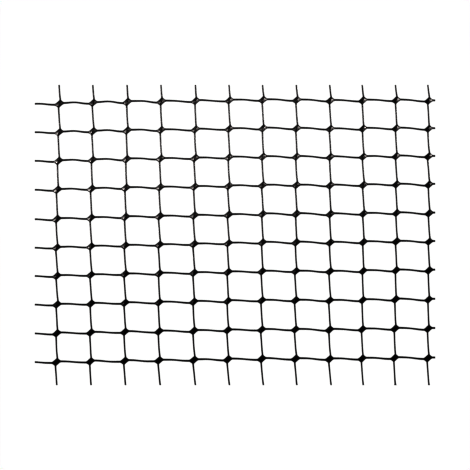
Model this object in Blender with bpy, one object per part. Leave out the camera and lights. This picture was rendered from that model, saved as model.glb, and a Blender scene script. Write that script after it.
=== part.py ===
"""Poultry netting: a straight-cut piece of black plastic mesh, lying flat.

The net is extruded as one web and then drawn out both ways, so it is a single piece:
thin drawn strands run between thick joints that were not drawn.  Cross strands run
along X and upright strands along Y.  Every joint is skewed: a cross strand leaves it
to the right a little higher than it came in from the left, and an upright strand
leaves it upwards a little further right than it came in from below.

The origin is at the middle of the sheet, on the surface it lies on, with +Z up.
Lengths are named in millimetres and turned into metres by MM.
"""

import math
from collections import namedtuple

import bmesh
import bpy

MM = 0.001

# The sheet as it is cut, and one mesh of the net from joint to joint.
SHEET_WIDTH = 237.4
SHEET_HEIGHT = 178.0
PITCH_ACROSS = 20.0
PITCH_UP = 17.0

# A joint stands on its flat lower crown, and the strands leave it half way up.
JOINT_THICKNESS = 2.0
MIDDLE_HEIGHT = JOINT_THICKNESS / 2
CROWN_SHARE = 0.6

# A strand's cross-section: how far it lies from the joint's centre along the strand,
# how far it is off the straight line between joints, and its width and thickness.
Section = namedtuple("Section", "reach offset width thickness")
CROSS_PORT = Section(2.20, 0.48, 1.29, 1.30)
CROSS_NECK = Section(3.60, 0.43, 1.14, 0.95)
CROSS_MIDDLE = Section(10.00, 0.00, 0.92, 0.80)
UPRIGHT_PORT = Section(2.20, 0.44, 0.90, 1.30)
UPRIGHT_NECK = Section(3.60, 0.35, 0.84, 0.85)

# Upright strands from left to right, the first and last lying beyond the cut: where
# each crosses the top row, the middle and the bottom row of joints, how far its joints
# ride above the line of the cross strands, and how far the cross strands to its right
# arch upwards in the top row and in the bottom row.
Upright = namedtuple("Upright", "x_top x_middle x_bottom rise arch_top arch_bottom")
UPRIGHTS = (
    Upright(-124.4, -125.8, -125.9, 0.00, 0.30, 0.05),
    Upright(-104.1, -105.6, -105.8, -0.03, 0.58, -0.08),
    Upright(-84.1, -85.4, -85.7, 0.01, 0.58, -0.18),
    Upright(-63.8, -65.1, -65.5, 0.04, 0.46, -0.16),
    Upright(-43.7, -44.8, -45.2, -0.06, 0.15, 0.13),
    Upright(-23.3, -24.3, -24.5, -0.05, -0.02, 0.22),
    Upright(-3.3, -4.0, -4.4, 0.07, 0.26, 0.01),
    Upright(16.6, 16.2, 15.7, 0.20, 0.24, 0.06),
    Upright(36.6, 36.2, 35.7, 0.05, 0.21, 0.16),
    Upright(56.5, 56.4, 56.0, -0.29, 0.07, 0.13),
    Upright(75.8, 76.1, 75.3, -0.14, 0.21, 0.16),
    Upright(95.5, 95.7, 94.6, 0.18, 0.20, 0.17),
    Upright(114.7, 115.0, 114.5, 0.01, 0.15, 0.15),
    Upright(134.5, 134.9, 134.3, 0.00, 0.15, 0.15),
)

# Cross strands from the top down, the first and last lying beyond the cut: how high
# each lies at the left, middle and right column of joints.
Cross = namedtuple("Cross", "y_left y_middle y_right")
CROSSES = (
    Cross(94.7, 96.7, 96.2),
    Cross(77.8, 79.8, 79.5),
    Cross(60.9, 62.9, 62.9),
    Cross(43.9, 46.0, 46.5),
    Cross(26.8, 29.1, 29.8),
    Cross(9.4, 12.0, 12.8),
    Cross(-7.5, -4.9, -4.0),
    Cross(-24.3, -22.0, -21.1),
    Cross(-41.3, -39.2, -38.4),
    Cross(-58.4, -56.5, -55.7),
    Cross(-75.4, -73.8, -73.1),
    Cross(-93.0, -91.8, -91.2),
)
LAST_COLUMN = len(UPRIGHTS) - 3
LAST_ROW = len(CROSSES) - 3

# Points nearer than this are one point when the copies of a joint are welded.
WELD = 0.02


def through(first, middle, last, share):
    """The parabola through three values at shares 0, 0.5 and 1, read at any share."""
    bend = 2 * (first - 2 * middle + last)
    return first + (last - first - bend) * share + bend * share * share


def between(values, place):
    """A table's value at a place counted from its second row, straight between rows."""
    index = min(max(math.floor(place) + 1, 0), len(values) - 2)
    part = place + 1 - index
    return values[index] * (1 - part) + values[index + 1] * part


def net_point(column, row):
    """Where the sheet's column and row, whole at the joints, lie on the flat net."""
    down = row / LAST_ROW
    across = column / LAST_COLUMN
    x = between([through(u.x_top, u.x_middle, u.x_bottom, down) for u in UPRIGHTS], column)
    y = between([through(c.y_left, c.y_middle, c.y_right, across) for c in CROSSES], row)
    rise = between([u.rise for u in UPRIGHTS], column)
    span = UPRIGHTS[min(max(math.floor(column) + 1, 0), len(UPRIGHTS) - 1)]
    arch = span.arch_top + (span.arch_bottom - span.arch_top) * down
    return x, y + rise + arch * math.sin(math.pi * column) ** 4


def section_corners(section):
    """The four corners of a section as (along, sideways, height), low ones first."""
    half_width = section.width / 2
    half_thick = section.thickness / 2
    low, high = MIDDLE_HEIGHT - half_thick, MIDDLE_HEIGHT + half_thick
    sides = (section.offset - half_width, section.offset + half_width)
    return (
        (section.reach, sides[0], low),
        (section.reach, sides[1], low),
        (section.reach, sides[1], high),
        (section.reach, sides[0], high),
    )


def far_end(section, pitch):
    """The same section at the other end of a strand, as the next joint sees it."""
    return section._replace(reach=pitch - section.reach, offset=-section.offset)


def across(corner):
    """A strand's (along, sideways, height) for a cross strand that runs to the right."""
    along, sideways, height = corner
    return along, sideways, height


def upward(corner):
    """A strand's (along, sideways, height) for an upright strand that runs upwards."""
    along, sideways, height = corner
    return sideways, along, height


def turned(corner):
    """A point turned half round the joint: its left is its right turned half round."""
    x, y, z = corner
    return -x, -y, z


def add_section(bm, corners):
    return [bm.verts.new([value * MM for value in corner]) for corner in corners]


def add_strand(bm, first, sections, direction):
    """Skins a strand on from its first four points through the other sections."""
    last = first
    for section in sections:
        fresh = add_section(bm, [direction(c) for c in section_corners(section)])
        for k in range(4):
            after = (k + 1) % 4
            bm.faces.new((last[k], last[after], fresh[after], fresh[k]))
        last = fresh


def add_crown(bm, rim, height):
    """A flat crown with a corner towards each strand, sloping down to the joint's rim."""
    ports = [rim[2 * k : 2 * k + 2] for k in range(4)]
    corners = []
    for first, second in ports:
        middle = (first.co + second.co) / 2 * CROWN_SHARE
        corners.append(bm.verts.new((middle.x, middle.y, height * MM)))
    bm.faces.new(corners)
    for k in range(4):
        after = (k + 1) % 4
        bm.faces.new((ports[k][0], ports[k][1], corners[k]))
        bm.faces.new((ports[k][1], ports[after][0], corners[after], corners[k]))


def joint_with_two_strands():
    """One joint, the strand to its right and the strand above it, as a mesh.

    Its left and lower sides are open: the neighbours' strands close them.
    """
    bm = bmesh.new()
    right = [across(c) for c in section_corners(CROSS_PORT)]
    top = [upward(c) for c in section_corners(UPRIGHT_PORT)]
    ports = [
        add_section(bm, right),
        add_section(bm, top),
        add_section(bm, [turned(c) for c in right]),
        add_section(bm, [turned(c) for c in top]),
    ]
    # Corners run round the joint: an upright port's near corner is its second one.
    low, high = [], []
    for k, (low_a, low_b, high_b, high_a) in enumerate(ports):
        if k % 2:
            low_a, low_b, high_a, high_b = low_b, low_a, high_b, high_a
        low += [low_a, low_b]
        high += [high_a, high_b]
    for k in (1, 3, 5, 7):
        after = (k + 1) % 8
        bm.faces.new((low[k], low[after], high[after], high[k]))
    add_crown(bm, high, JOINT_THICKNESS)
    add_crown(bm, low, 0.0)
    add_strand(
        bm,
        ports[0],
        (
            CROSS_NECK,
            CROSS_MIDDLE,
            far_end(CROSS_NECK, PITCH_ACROSS),
            far_end(CROSS_PORT, PITCH_ACROSS),
        ),
        across,
    )
    add_strand(
        bm,
        ports[1],
        (
            UPRIGHT_NECK,
            far_end(UPRIGHT_NECK, PITCH_UP),
            far_end(UPRIGHT_PORT, PITCH_UP),
        ),
        upward,
    )
    mesh = bpy.data.meshes.new("joint")
    bm.to_mesh(mesh)
    bm.free()
    return mesh


def web(joint):
    """The joint copied over the sheet and beyond the cut, and welded into one web."""
    bm = bmesh.new()
    for row in range(-1, LAST_ROW + 2):
        for column in range(-1, LAST_COLUMN + 2):
            before = len(bm.verts)
            bm.from_mesh(joint)
            bm.verts.ensure_lookup_table()
            for vert in bm.verts[before:]:
                local_x, local_y = vert.co.x / MM, vert.co.y / MM
                x, y = net_point(column + local_x / PITCH_ACROSS, row - local_y / PITCH_UP)
                vert.co.x, vert.co.y = x * MM, y * MM
    bmesh.ops.remove_doubles(bm, verts=bm.verts, dist=WELD * MM)
    return bm


def cut_to_size(bm):
    """Cuts the web straight along the sheet's four sides and closes the cut strands."""
    half_width, half_height = SHEET_WIDTH / 2 * MM, SHEET_HEIGHT / 2 * MM
    for x, y in ((1, 0), (-1, 0), (0, 1), (0, -1)):
        bmesh.ops.bisect_plane(
            bm,
            geom=bm.verts[:] + bm.edges[:] + bm.faces[:],
            plane_co=(x * half_width, y * half_height, 0),
            plane_no=(x, y, 0),
            clear_outer=True,
        )
    open_edges = [edge for edge in bm.edges if edge.is_boundary]
    bmesh.ops.holes_fill(bm, edges=open_edges, sides=0)
    bmesh.ops.recalc_face_normals(bm, faces=bm.faces)


def black_plastic():
    material = bpy.data.materials.new("black_plastic")
    material.use_nodes = True
    shader = material.node_tree.nodes["Principled BSDF"]
    shader.inputs["Base Color"].default_value = (0.012, 0.012, 0.013, 1)
    shader.inputs["Roughness"].default_value = 0.35
    shader.inputs["Metallic"].default_value = 0.0
    return material


def make_netting():
    joint = joint_with_two_strands()
    bm = web(joint)
    bpy.data.meshes.remove(joint)
    cut_to_size(bm)
    mesh = bpy.data.meshes.new("netting")
    bm.to_mesh(mesh)
    bm.free()
    mesh.materials.append(black_plastic())
    netting = bpy.data.objects.new("netting", mesh)
    bpy.context.scene.collection.objects.link(netting)
    return netting


def main():
    for old in list(bpy.data.objects):
        bpy.data.objects.remove(old)
    make_netting()


main()
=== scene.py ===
import math
import random
from collections import namedtuple

import bmesh
import bpy
import numpy as np
from mathutils import Matrix, Vector


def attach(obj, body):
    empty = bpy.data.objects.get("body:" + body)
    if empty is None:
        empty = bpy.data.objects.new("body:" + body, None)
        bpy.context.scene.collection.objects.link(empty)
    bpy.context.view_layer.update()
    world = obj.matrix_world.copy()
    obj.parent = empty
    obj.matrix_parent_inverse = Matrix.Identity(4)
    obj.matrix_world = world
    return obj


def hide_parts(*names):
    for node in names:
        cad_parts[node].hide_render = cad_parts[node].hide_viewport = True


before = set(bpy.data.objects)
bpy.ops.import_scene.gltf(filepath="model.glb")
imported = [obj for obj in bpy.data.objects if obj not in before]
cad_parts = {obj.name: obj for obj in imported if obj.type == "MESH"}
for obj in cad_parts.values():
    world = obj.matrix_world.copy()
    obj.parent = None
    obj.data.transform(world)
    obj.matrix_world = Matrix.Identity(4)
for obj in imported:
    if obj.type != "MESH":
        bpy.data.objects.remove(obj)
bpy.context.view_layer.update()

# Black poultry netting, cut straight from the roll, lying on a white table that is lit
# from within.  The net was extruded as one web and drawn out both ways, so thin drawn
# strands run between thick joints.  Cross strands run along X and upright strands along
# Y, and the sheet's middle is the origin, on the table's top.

MM = 0.001

# The sheet as it is cut, and one mesh of the net from joint to joint, in millimetres.
SHEET_WIDTH = 237.4
SHEET_HEIGHT = 178.0
PITCH_ACROSS = 20.0
PITCH_UP = 17.0
JOINT_THICKNESS = 2.0
MIDDLE_HEIGHT = JOINT_THICKNESS / 2

# A joint starts as a square block.  Two opposite corners are cut off a little and the
# other two deeply, which leaves a lozenge along the diagonal from lower left to upper
# right.  Its top and bottom rise from the rim over a low shoulder and a steeper slope to
# a flat crown, and the shoulder is lifted at the lozenge's two far ends, beside the
# upright strands, so that the slopes there face the cross strands.
BLOCK_SIDE = 4.40
RIM_THICKNESS = 1.06
SHORT_CUT = 1.19
LONG_CUT = 2.11
SHOULDER_WIDTH = 0.45
SHOULDER_RISE = 0.02
SHOULDER_LIFT = 0.38
CROWN_SLOPE = 0.55
CROWN_NARROWING = 0.45
CROWN_EDGE = 0.12
CORNER_CREASE = 0.75

# The finished block is moved a little up and to the right of where the strands' lines
# cross, with all that lies within this reach of its middle along X and Y.
BLOCK_SHIFT = (0.06, 0.10, 0)
BLOCK_REACH = (2.0, 3.5)

# How near a corner or an edge has to lie to where it is looked for, and what x times y
# passes only at the lozenge's two far ends.
NEAR = 0.01
FAR_ENDS = 0.5

# A strand's cross-sections from the joint to its middle: how far each lies from the
# joint's centre, how far off the straight line between joints, and its size.
Section = namedtuple("Section", "reach offset width thickness")
CROSS_SECTIONS = (
    Section(2.25, 0.48, 1.12, 1.06),
    Section(2.90, 0.48, 1.15, 1.02),
    Section(4.10, 0.45, 1.15, 0.96),
    Section(6.80, 0.33, 1.05, 0.92),
    Section(10.00, 0.00, 0.98, 0.90),
)
UPRIGHT_SECTIONS = (
    Section(2.12, 0.47, 0.97, 1.42),
    Section(2.75, 0.42, 0.97, 1.02),
    Section(4.40, 0.26, 0.91, 0.92),
    Section(8.50, 0.00, 0.87, 0.86),
)

# Upright strands from left to right, the first and last lying beyond the cut: where
# each crosses the top row, the middle and the bottom row of joints, how far its joints
# ride above the line of the cross strands, and how far the cross strands to its right
# arch upwards in the top row and in the bottom row.
Upright = namedtuple("Upright", "x_top x_middle x_bottom rise arch_top arch_bottom")
UPRIGHTS = (
    Upright(-124.4, -125.8, -125.9, 0.00, 0.30, 0.05),
    Upright(-104.1, -105.6, -105.8, -0.03, 0.58, -0.08),
    Upright(-84.1, -85.4, -85.7, 0.01, 0.58, -0.18),
    Upright(-63.8, -65.1, -65.5, 0.04, 0.46, -0.16),
    Upright(-43.7, -44.8, -45.2, -0.06, 0.15, 0.13),
    Upright(-23.3, -24.3, -24.5, -0.05, -0.02, 0.22),
    Upright(-3.3, -4.0, -4.4, 0.07, 0.26, 0.01),
    Upright(16.6, 16.2, 15.7, 0.20, 0.24, 0.06),
    Upright(36.6, 36.2, 35.7, 0.05, 0.21, 0.16),
    Upright(56.5, 56.4, 56.0, -0.29, 0.07, 0.13),
    Upright(75.8, 76.1, 75.3, -0.14, 0.21, 0.16),
    Upright(95.5, 95.7, 94.6, 0.18, 0.20, 0.17),
    Upright(114.7, 115.0, 114.5, 0.01, 0.15, 0.15),
    Upright(134.5, 134.9, 134.3, 0.00, 0.15, 0.15),
)

# Cross strands from the top down, the first and last lying beyond the cut: how high
# each lies at the left, middle and right column of joints, and how far its joints there
# sway to the right of the lines of the upright strands.
Cross = namedtuple("Cross", "y_left y_middle y_right sway_left sway_middle sway_right")
CROSSES = (
    Cross(94.7, 96.7, 96.2, -0.57, -0.45, -0.39),
    Cross(77.8, 79.8, 79.5, -0.09, -0.06, 0.20),
    Cross(60.9, 62.9, 62.9, 0.16, 0.06, -0.10),
    Cross(43.9, 46.0, 46.5, 0.11, 0.02, -0.21),
    Cross(26.8, 29.1, 29.8, -0.20, -0.01, -0.03),
    Cross(9.4, 12.0, 12.8, -0.30, 0.02, 0.06),
    Cross(-7.5, -4.9, -4.0, -0.10, 0.04, 0.10),
    Cross(-24.3, -22.0, -21.1, 0.11, -0.04, 0.04),
    Cross(-41.3, -39.2, -38.4, 0.28, -0.08, -0.01),
    Cross(-58.4, -56.5, -55.7, 0.10, -0.04, -0.10),
    Cross(-75.4, -73.8, -73.1, -0.21, 0.12, -0.05),
    Cross(-93.0, -91.8, -91.2, -0.40, 0.75, 0.25),
)
LAST_COLUMN = len(UPRIGHTS) - 3
LAST_ROW = len(CROSSES) - 3

# How unevenly the net was drawn: the most that a joint is off its place, turned and
# larger or smaller, and how far around it that is felt.
JOINT_SHIFT = 0.04
JOINT_TURN = math.radians(2.5)
JOINT_GROWTH = 0.035
JOINT_REACH = 7.5
UNEVEN_SEED = 20

# How far from a joint's middle the plastic starts to be drawn, and over what length
# that grows to its whole effect.
DRAWN_FROM = 1.6
DRAWN_OVER = 2.4

# Points nearer than WELD are one point when the joints are joined up, and a point
# nearer than CUT_SNAP to the line of a cut lies on it.
WELD = 0.02
CUT_SNAP = 0.001
SMOOTH_ANGLE = math.radians(60)


def through(first, middle, last, share):
    """The parabola through three values at shares 0, 0.5 and 1, read at any share."""
    bend = 2 * (first - 2 * middle + last)
    return first + (last - first - bend) * share + bend * share * share


def between(table, place):
    """Reads each row of a table at its own place, counted from the second column."""
    index = np.clip(np.floor(place).astype(int) + 1, 0, table.shape[1] - 2)
    part = place + 1 - index
    rows = np.arange(len(place))
    return table[rows, index] * (1 - part) + table[rows, index + 1] * part


def net_points(column, row):
    """Where the sheet's columns and rows, whole at the joints, lie on the flat net."""
    down = row[:, None] / LAST_ROW
    across = column[:, None] / LAST_COLUMN
    uprights = np.array(UPRIGHTS)
    crosses = np.array(CROSSES)
    x = between(through(*uprights[:, :3].T[:, None], down), column)
    y = between(through(*crosses[:, :3].T[:, None], across), row)
    sway = between(through(*crosses[:, 3:].T[:, None], across), row)
    rise = np.interp(column, np.arange(len(uprights)) - 1, uprights[:, 3])
    span = np.clip(np.floor(column).astype(int) + 1, 0, len(uprights) - 1)
    arch_top, arch_bottom = uprights[span, 4], uprights[span, 5]
    arch = arch_top + (arch_bottom - arch_top) * down[:, 0]
    return x + sway, y + rise + arch * np.sin(math.pi * column) ** 4


def unevenness():
    """Each joint's shift along X and Y, turn and growth, for every column and row."""
    draw = random.Random(UNEVEN_SEED)
    shape = (LAST_ROW + 3, LAST_COLUMN + 3)
    limits = (JOINT_SHIFT, JOINT_SHIFT, JOINT_TURN, JOINT_GROWTH)
    return [
        np.array([draw.uniform(-most, most) for _ in range(shape[0] * shape[1])]).reshape(shape)
        for most in limits
    ]


def start_edit(piece):
    bpy.ops.object.select_all(action="DESELECT")
    piece.select_set(True)
    bpy.context.view_layer.objects.active = piece
    bpy.ops.object.mode_set(mode="EDIT")
    bpy.ops.mesh.select_mode(type="FACE")
    bpy.ops.mesh.select_all(action="DESELECT")


def select_side(piece, towards):
    """Selects the face on one side of the block, which its middle is nearest to."""
    bpy.ops.mesh.select_mode(type="FACE")
    bpy.ops.mesh.select_all(action="DESELECT")
    bm = bmesh.from_edit_mesh(piece.data)
    block = Vector((BLOCK_SIDE, BLOCK_SIDE, RIM_THICKNESS)) / 2
    place = (Vector((0, 0, MIDDLE_HEIGHT)) + block * Vector(towards)) * MM
    face = min(bm.faces, key=lambda f: (f.calc_center_median() - place).length)
    face.select_set(True)
    bmesh.update_edit_mesh(piece.data)


def select_upright_edges(piece, sign=0):
    """Selects the block's upright edges, or those where x times y has that sign."""
    bpy.ops.mesh.select_mode(type="EDGE")
    bpy.ops.mesh.select_all(action="DESELECT")
    bm = bmesh.from_edit_mesh(piece.data)
    for edge in bm.edges:
        one, other = (v.co / MM for v in edge.verts)
        upright = (one - other).xy.length < NEAR
        on_block = max(abs(one.x), abs(one.y)) < BLOCK_SIDE / 2 + NEAR
        if upright and on_block and one.x * one.y * sign >= 0:
            edge.select_set(True)
    bmesh.update_edit_mesh(piece.data)


def select_shoulders(piece, up):
    """Selects the shoulder's two corners beside the upright strands, at its far ends."""
    bpy.ops.mesh.select_mode(type="VERT")
    bpy.ops.mesh.select_all(action="DESELECT")
    bm = bmesh.from_edit_mesh(piece.data)
    end = BLOCK_SIDE / 2 - SHOULDER_WIDTH
    for vert in bm.verts:
        x, y, z = vert.co / MM
        this_side = (z - MIDDLE_HEIGHT) * up > 0
        if this_side and x * y > FAR_ENDS and abs(abs(y) - end) < NEAR:
            vert.select_set(True)
    bmesh.update_edit_mesh(piece.data)


def fit_face(piece, towards, section):
    """Moves and sizes the selected face to one of the cross-sections of a strand."""
    bm = bmesh.from_edit_mesh(piece.data)
    corners = np.array([v.co for f in bm.faces if f.select for v in f.verts])
    low, high = corners.min(0), corners.max(0)
    along = Vector(towards)
    sideways = Vector((abs(along.y), abs(along.x), 0)) * (along.x + along.y)
    goal = (along * section.reach + sideways * section.offset) * MM
    goal.z = MIDDLE_HEIGHT * MM
    bpy.ops.transform.translate(value=goal - Vector((low + high) / 2))
    wide = section.width * MM / max((high - low)[:2])
    thick = section.thickness * MM / (high - low)[2]
    factors = (wide, 1, thick) if along.y else (1, wide, thick)
    bpy.ops.transform.resize(value=factors, center_override=goal)


def draw_strand(piece, towards, sections):
    """Draws half a strand out of one side of the joint, and opens its far end."""
    select_side(piece, towards)
    fit_face(piece, towards, sections[0])
    for section in sections[1:]:
        bpy.ops.mesh.extrude_region_move(TRANSFORM_OT_translate={"value": (0, 0, 0)})
        fit_face(piece, towards, section)
    bpy.ops.mesh.delete(type="FACE")


def cut_block():
    """The joint's block with its corners cut off and its crowns raised."""
    bpy.ops.object.select_all(action="DESELECT")
    bpy.ops.mesh.primitive_cube_add(
        size=MM,
        location=(0, 0, MIDDLE_HEIGHT * MM),
        scale=(BLOCK_SIDE, BLOCK_SIDE, RIM_THICKNESS),
    )
    block = bpy.context.object
    block.name = "drawn_net"
    bpy.ops.object.transform_apply(location=True, rotation=True, scale=True)
    start_edit(block)
    for sign, cut in ((1, SHORT_CUT), (-1, LONG_CUT)):
        select_upright_edges(block, sign)
        bpy.ops.mesh.bevel(offset=cut * MM, segments=1, affect="EDGES")
    for up in (1, -1):
        select_side(block, (0, 0, up))
        bpy.ops.mesh.inset(thickness=SHOULDER_WIDTH * MM, depth=SHOULDER_RISE * MM)
        select_shoulders(block, up)
        bpy.ops.transform.translate(value=(0, 0, up * SHOULDER_LIFT * MM))
        select_side(block, (0, 0, up))
        bpy.ops.mesh.inset(thickness=CROWN_SLOPE * MM, depth=0)
        crown = (0, 0, (MIDDLE_HEIGHT + up * JOINT_THICKNESS / 2) * MM)
        bpy.ops.transform.resize(value=(CROWN_NARROWING, 1, 0), center_override=crown)
        bpy.ops.mesh.inset(thickness=CROWN_EDGE * MM, depth=0)
    return block


def shift_block(joint):
    """Moves the block and the upright strands' roots off the strands' crossing."""
    bpy.ops.mesh.select_mode(type="VERT")
    bpy.ops.mesh.select_all(action="DESELECT")
    bm = bmesh.from_edit_mesh(joint.data)
    for vert in bm.verts:
        if abs(vert.co.x) < BLOCK_REACH[0] * MM and abs(vert.co.y) < BLOCK_REACH[1] * MM:
            vert.select_set(True)
    bmesh.update_edit_mesh(joint.data)
    bpy.ops.transform.translate(value=Vector(BLOCK_SHIFT) * MM)


def model_joint():
    """One joint with half a strand on each side, as it repeats over the net."""
    joint = cut_block()
    for towards, sections in (
        ((1, 0, 0), CROSS_SECTIONS),
        ((0, 1, 0), UPRIGHT_SECTIONS),
        ((-1, 0, 0), CROSS_SECTIONS),
        ((0, -1, 0), UPRIGHT_SECTIONS),
    ):
        draw_strand(joint, towards, sections)
    select_upright_edges(joint)
    bpy.ops.transform.edge_crease(value=CORNER_CREASE)
    shift_block(joint)
    bpy.ops.object.mode_set(mode="OBJECT")
    return joint


def apply_modifier(piece, kind, **values):
    """Adds one of Blender's modifiers to a piece and applies it."""
    bpy.ops.object.select_all(action="DESELECT")
    piece.select_set(True)
    bpy.context.view_layer.objects.active = piece
    bpy.ops.object.modifier_add(type=kind)
    modifier = piece.modifiers[-1]
    for name, value in values.items():
        setattr(modifier, name, value)
    bpy.ops.object.modifier_apply(modifier=modifier.name)


def repeat_joint(net):
    """Copies the joint over the sheet and one mesh beyond it, merged into one web."""
    for count, step in (
        (LAST_COLUMN + 3, (PITCH_ACROSS * MM, 0, 0)),
        (LAST_ROW + 3, (0, -PITCH_UP * MM, 0)),
    ):
        apply_modifier(
            net,
            "ARRAY",
            count=count,
            use_relative_offset=False,
            use_constant_offset=True,
            constant_offset_displace=step,
            use_merge_vertices=True,
            merge_threshold=WELD * MM,
        )


def smooth_step(value):
    value = np.clip(value, 0, 1)
    return value * value * (3 - 2 * value)


def note_on_points(mesh, name, values):
    """Keeps a value for every point of the mesh, for its material to read."""
    attribute = mesh.attributes.new(name, "FLOAT", "POINT")
    attribute.data.foreach_set("value", values)


def lay_net(net):
    """Lays the even web on the real strand lines, and notes where its plastic was drawn."""
    mesh = net.data
    flat = np.empty(len(mesh.vertices) * 3)
    mesh.vertices.foreach_get("co", flat)
    points = flat.reshape(-1, 3) / MM
    column = points[:, 0] / PITCH_ACROSS - 1
    row = -points[:, 1] / PITCH_UP - 1
    near_column = np.clip(np.rint(column), -1, LAST_COLUMN + 1)
    near_row = np.clip(np.rint(row), -1, LAST_ROW + 1)
    aside = (column - near_column) * PITCH_ACROSS
    above = (near_row - row) * PITCH_UP
    distance = np.hypot(aside, above)
    felt = smooth_step(1 - distance / JOINT_REACH)
    place = ((near_row + 1).astype(int), (near_column + 1).astype(int))
    shift_x, shift_y, turn, growth = (table[place] * felt for table in unevenness())
    x, y = net_points(column, row)
    points[:, 0] = x + shift_x + aside * growth - above * turn
    points[:, 1] = y + shift_y + above * growth + aside * turn
    mesh.vertices.foreach_set("co", (points * MM).ravel())
    note_on_points(mesh, "drawn", smooth_step((distance - DRAWN_FROM) / DRAWN_OVER))
    note_on_points(mesh, "upright", (np.abs(above) > np.abs(aside)).astype(float))
    mesh.update()


def cut_to_size(net):
    """Cuts the web straight along the sheet's four sides and closes the cut strands."""
    start_edit(net)
    for x, y in ((1, 0), (-1, 0), (0, 1), (0, -1)):
        bpy.ops.mesh.select_all(action="SELECT")
        bpy.ops.mesh.bisect(
            plane_co=(x * SHEET_WIDTH / 2 * MM, y * SHEET_HEIGHT / 2 * MM, 0),
            plane_no=(x, y, 0),
            use_fill=True,
            clear_outer=True,
            threshold=CUT_SNAP * MM,
        )
    bpy.ops.mesh.select_all(action="SELECT")
    bpy.ops.mesh.normals_make_consistent(inside=False)
    bpy.ops.object.mode_set(mode="OBJECT")


# The plastic's two finishes: the roughness of the joints and of the drawn strands, how
# deep the lines along the strands are in metres, the plain colour and the lighter mottled
# colour of the joints (a faint grey bloom that is partly a painted sheen, standing in for
# the flat crowns' dim reflection of the room), and how unevenly the mottle dulls it.
Finish = namedtuple("Finish", "joint_gloss strand_gloss line_depth clean bloomed unevenness")
AS_DRAWN = Finish(
    0.33, 0.42, 0.000012, (0.003, 0.003, 0.0032, 1), (0.012, 0.0115, 0.0115, 1), 0.12
)
AS_CUT = Finish(
    0.45, 0.45, 0.00001, (0.012, 0.012, 0.012, 1), (0.035, 0.034, 0.033, 1), 0.2
)
PLASTIC_IOR = 1.49
LINE_STRENGTH = 0.6
LINES_PER_METRE = 6000.0
LINE_SQUEEZE = 0.02
BROAD_MOTTLE = 90.0
FINE_MOTTLE = 1400.0
MOTTLE_GAIN = 2.4


def new_group(name, inputs, outputs):
    """An empty shader node group with its named sockets, and its two end nodes."""
    group = bpy.data.node_groups.new(name, "ShaderNodeTree")
    for in_out, sockets in (("INPUT", inputs), ("OUTPUT", outputs)):
        for label, kind, value in sockets:
            socket = group.interface.new_socket(label, in_out=in_out, socket_type=kind)
            if value is not None:
                socket.default_value = value
    start = group.nodes.new("NodeGroupInput")
    end = group.nodes.new("NodeGroupOutput")
    return group, start, end


def noise_node(tree, scale, detail):
    noise = tree.nodes.new("ShaderNodeTexNoise")
    noise.inputs["Scale"].default_value = scale
    noise.inputs["Detail"].default_value = detail
    return noise


def math_node(tree, operation, first, second):
    """A math node between two sockets or numbers."""
    node = tree.nodes.new("ShaderNodeMath")
    node.operation = operation
    for socket, value in zip(node.inputs, (first, second)):
        if isinstance(value, (int, float)):
            socket.default_value = value
        else:
            tree.links.new(value, socket)
    return node.outputs[0]


def mix_node(tree, kind, factor, first, second):
    """A mix node of floats, colours or vectors between two sockets or values."""
    node = tree.nodes.new("ShaderNodeMix")
    node.data_type = kind
    sockets = {
        "FLOAT": ("A_Float", "B_Float", "Result_Float"),
        "RGBA": ("A_Color", "B_Color", "Result_Color"),
        "VECTOR": ("A_Vector", "B_Vector", "Result_Vector"),
    }[kind]
    by_name = {s.identifier: s for s in [*node.inputs, *node.outputs]}
    for label, value in (("Factor_Float", factor), (sockets[0], first), (sockets[1], second)):
        socket = by_name[label]
        if isinstance(value, bpy.types.NodeSocket):
            tree.links.new(value, socket)
        else:
            socket.default_value = value
    return by_name[sockets[2]]


def drawn_lines_group():
    """Fine lines that drawing leaves along a strand: height over object coordinates."""
    group, start, end = new_group(
        "drawn_lines",
        (
            ("Vector", "NodeSocketVector", None),
            ("Upright", "NodeSocketFloat", 0.0),
            ("Lines per metre", "NodeSocketFloat", LINES_PER_METRE),
        ),
        (("Height", "NodeSocketFloat", None),),
    )
    links = group.links
    squeezed = []
    for squeeze in ((LINE_SQUEEZE, 1.0, 1.0), (1.0, LINE_SQUEEZE, 1.0)):
        mapping = group.nodes.new("ShaderNodeMapping")
        mapping.vector_type = "POINT"
        mapping.inputs["Scale"].default_value = squeeze
        links.new(start.outputs["Vector"], mapping.inputs["Vector"])
        squeezed.append(mapping.outputs["Vector"])
    chosen = mix_node(group, "VECTOR", start.outputs["Upright"], squeezed[0], squeezed[1])
    noise = noise_node(group, 1.0, 3.0)
    links.new(chosen, noise.inputs["Vector"])
    links.new(start.outputs["Lines per metre"], noise.inputs["Scale"])
    links.new(noise.outputs["Fac"], end.inputs["Height"])
    return group


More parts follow.
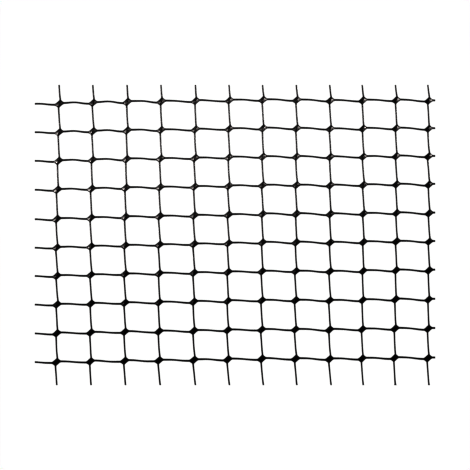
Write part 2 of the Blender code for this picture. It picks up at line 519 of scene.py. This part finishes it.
def bloom_and_sheen_group():
    """A faint grey bloom on black plastic, a mottled colour and roughness; the lighter colour
    where Share is high is partly a painted sheen, standing in for the joints' dim reflection of
    the room.
    """
    group, start, end = new_group(
        "plastic_bloom_and_painted_sheen",
        (
            ("Vector", "NodeSocketVector", None),
            ("Share", "NodeSocketFloat", 1.0),
            ("Clean", "NodeSocketColor", (0.01, 0.01, 0.01, 1)),
            ("Bloomed", "NodeSocketColor", (0.02, 0.02, 0.02, 1)),
            ("Roughness", "NodeSocketFloat", 0.3),
            ("Unevenness", "NodeSocketFloat", 0.1),
        ),
        (
            ("Color", "NodeSocketColor", None),
            ("Roughness", "NodeSocketFloat", None),
        ),
    )
    broad = noise_node(group, BROAD_MOTTLE, 4.0)
    fine = noise_node(group, FINE_MOTTLE, 3.0)
    for noise in (broad, fine):
        group.links.new(start.outputs["Vector"], noise.inputs["Vector"])
    both = math_node(group, "MULTIPLY", broad.outputs["Fac"], fine.outputs["Fac"])
    mottled = math_node(group, "MULTIPLY", both, MOTTLE_GAIN)
    amount = math_node(group, "MULTIPLY", mottled, start.outputs["Share"])
    colour = mix_node(group, "RGBA", amount, start.outputs["Clean"], start.outputs["Bloomed"])
    change = math_node(group, "MULTIPLY", mottled, start.outputs["Unevenness"])
    rough = math_node(group, "ADD", start.outputs["Roughness"], change)
    group.links.new(colour, end.inputs["Color"])
    group.links.new(rough, end.inputs["Roughness"])
    return group


def place_group(tree, group, **values):
    """A node group in a material, with its own values in the inputs of those names."""
    node = tree.nodes.new("ShaderNodeGroup")
    node.node_tree = group
    for label, value in values.items():
        node.inputs[label].default_value = value
    return node


def attribute_value(tree, name):
    node = tree.nodes.new("ShaderNodeAttribute")
    node.attribute_name = name
    return node.outputs["Fac"]


def plastic_material(name, bloom_and_sheen, lines, finish):
    """Black polypropylene: glossy joints, and strands that drawing made duller."""
    material = bpy.data.materials.new(name)
    material.use_nodes = True
    tree = material.node_tree
    shader = tree.nodes["Principled BSDF"]
    shader.inputs["IOR"].default_value = PLASTIC_IOR
    place = tree.nodes.new("ShaderNodeTexCoord").outputs["Object"]
    drawn = attribute_value(tree, "drawn")
    mottle = place_group(
        tree,
        bloom_and_sheen,
        Clean=finish.clean,
        Bloomed=finish.bloomed,
        Unevenness=finish.unevenness,
    )
    tree.links.new(place, mottle.inputs["Vector"])
    # The undrawn joints take the lighter mottled colour: partly grey bloom, partly a painted sheen
    # for their flat crowns' dim reflection of the room.
    undrawn = math_node(tree, "SUBTRACT", 1.0, drawn)
    tree.links.new(undrawn, mottle.inputs["Share"])
    rough = mix_node(tree, "FLOAT", drawn, finish.joint_gloss, finish.strand_gloss)
    tree.links.new(rough, mottle.inputs["Roughness"])
    tree.links.new(mottle.outputs["Color"], shader.inputs["Base Color"])
    tree.links.new(mottle.outputs["Roughness"], shader.inputs["Roughness"])
    streaks = place_group(tree, lines)
    tree.links.new(place, streaks.inputs["Vector"])
    tree.links.new(attribute_value(tree, "upright"), streaks.inputs["Upright"])
    height = math_node(tree, "MULTIPLY", streaks.outputs["Height"], drawn)
    bump = tree.nodes.new("ShaderNodeBump")
    bump.inputs["Strength"].default_value = LINE_STRENGTH
    bump.inputs["Distance"].default_value = finish.line_depth
    tree.links.new(height, bump.inputs["Height"])
    tree.links.new(bump.outputs["Normal"], shader.inputs["Normal"])
    return material


def finish_net(net):
    """Smooth shading and the plastic's two finishes: as drawn, and where it was cut."""
    bpy.ops.object.select_all(action="DESELECT")
    net.select_set(True)
    bpy.context.view_layer.objects.active = net
    bpy.ops.object.shade_smooth_by_angle(angle=SMOOTH_ANGLE)
    bloom_and_sheen = bloom_and_sheen_group()
    lines = drawn_lines_group()
    for name, finish in (("black_polypropylene", AS_DRAWN), ("cut_polypropylene", AS_CUT)):
        net.data.materials.append(plastic_material(name, bloom_and_sheen, lines, finish))
    for face in net.data.polygons:
        x, y = abs(face.center.x) / MM, abs(face.center.y) / MM
        if max(x - SHEET_WIDTH / 2, y - SHEET_HEIGHT / 2) > -WELD / 2:
            face.material_index = 1


def make_net():
    """The whole net in one piece, from one joint to the finished sheet."""
    net = model_joint()
    apply_modifier(net, "SUBSURF", levels=1, render_levels=1)
    repeat_joint(net)
    lay_net(net)
    cut_to_size(net)
    finish_net(net)
    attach(net, "root")
    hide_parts("netting")
    return net


# The stage: a white table lit from within, a soft box on each side, and a pale room
# that is dark overhead, where the camera looks down from.  Its sizes are in metres.
TABLE_SIDE = 6.0
TABLE_GAP = 0.0001
TABLE_COLOUR = (0.01, 0.01, 0.01, 1)
TABLE_ROUGHNESS = 0.6
TABLE_GLOW = 1.0

# A grid before each soft box keeps its light on the part that it is aimed at.
Softbox = namedtuple("Softbox", "name place aim size power")
SOFTBOXES = (
    Softbox("left_softbox", (-0.67, 0.045, 0.66), (-0.094, 0.035, 0), (0.07, 0.20), 0.150),
    Softbox("right_softbox", (0.67, 0.060, 0.66), (0.029, 0.075, 0), (0.07, 0.16), 0.115),
)
SOFTBOX_GRID = math.radians(10)
SOFTBOX_COLOUR = (1.0, 0.95, 0.93)

# The room's light at two heights, as the upward part of the direction it comes from.
ROOM_LIGHT = ((0.15, (0.9, 0.9, 0.9, 1)), (0.55, (0.30, 0.30, 0.30, 1)))

CAMERA_HEIGHT = 1.55
FRAME_WIDTH = 0.279
SENSOR_WIDTH = 36.0
DISPLAY_GAMMA = 0.42


def make_table():
    """A white table that glows evenly, so the net casts no shadow on it."""
    bpy.ops.object.select_all(action="DESELECT")
    bpy.ops.mesh.primitive_plane_add(size=TABLE_SIDE, location=(0, 0, -TABLE_GAP))
    table = bpy.context.object
    table.name = "white_table"
    bpy.ops.object.transform_apply(location=True)
    material = bpy.data.materials.new("white_acrylic")
    material.use_nodes = True
    shader = material.node_tree.nodes["Principled BSDF"]
    shader.inputs["Base Color"].default_value = TABLE_COLOUR
    shader.inputs["Roughness"].default_value = TABLE_ROUGHNESS
    shader.inputs["Specular IOR Level"].default_value = 0.0
    shader.inputs["Emission Color"].default_value = (1, 1, 1, 1)
    shader.inputs["Emission Strength"].default_value = TABLE_GLOW
    table.data.materials.append(material)


def add_softbox(softbox):
    light = bpy.data.lights.new(softbox.name, "AREA")
    light.shape = "RECTANGLE"
    light.size, light.size_y = softbox.size
    light.energy = softbox.power
    light.spread = SOFTBOX_GRID
    light.color = SOFTBOX_COLOUR
    lamp = bpy.data.objects.new(softbox.name, light)
    lamp.location = softbox.place
    lamp.rotation_euler = (Vector(softbox.aim) - lamp.location).to_track_quat("-Z", "Y").to_euler()
    lamp.visible_camera = False
    bpy.context.scene.collection.objects.link(lamp)


def make_room():
    """Pale light from the room's sides, fading to dark overhead."""
    world = bpy.data.worlds.new("room")
    bpy.context.scene.world = world
    world.use_nodes = True
    tree = world.node_tree
    background = tree.nodes["Background"]
    direction = tree.nodes.new("ShaderNodeTexCoord").outputs["Generated"]
    split = tree.nodes.new("ShaderNodeSeparateXYZ")
    tree.links.new(direction, split.inputs[0])
    ramp = tree.nodes.new("ShaderNodeValToRGB")
    for element, (height, level) in zip(ramp.color_ramp.elements, ROOM_LIGHT):
        element.position = height
        element.color = level
    tree.links.new(split.outputs["Z"], ramp.inputs["Fac"])
    tree.links.new(ramp.outputs["Color"], background.inputs["Color"])


def make_camera():
    """Straight above the sheet, with the top of the sheet at the top of the picture."""
    data = bpy.data.cameras.new("camera")
    data.sensor_width = SENSOR_WIDTH
    data.lens = SENSOR_WIDTH * CAMERA_HEIGHT / FRAME_WIDTH
    camera = bpy.data.objects.new("camera", data)
    camera.matrix_world = Matrix.Translation((0, 0, CAMERA_HEIGHT))
    bpy.context.scene.collection.objects.link(camera)
    bpy.context.scene.camera = camera


def make_stage():
    """The table, the lights, the room and the camera, and the picture's contrast."""
    make_table()
    for softbox in SOFTBOXES:
        add_softbox(softbox)
    make_room()
    make_camera()
    bpy.context.scene.view_settings.view_transform = "Standard"
    bpy.context.scene.view_settings.gamma = DISPLAY_GAMMA


make_net()
make_stage()
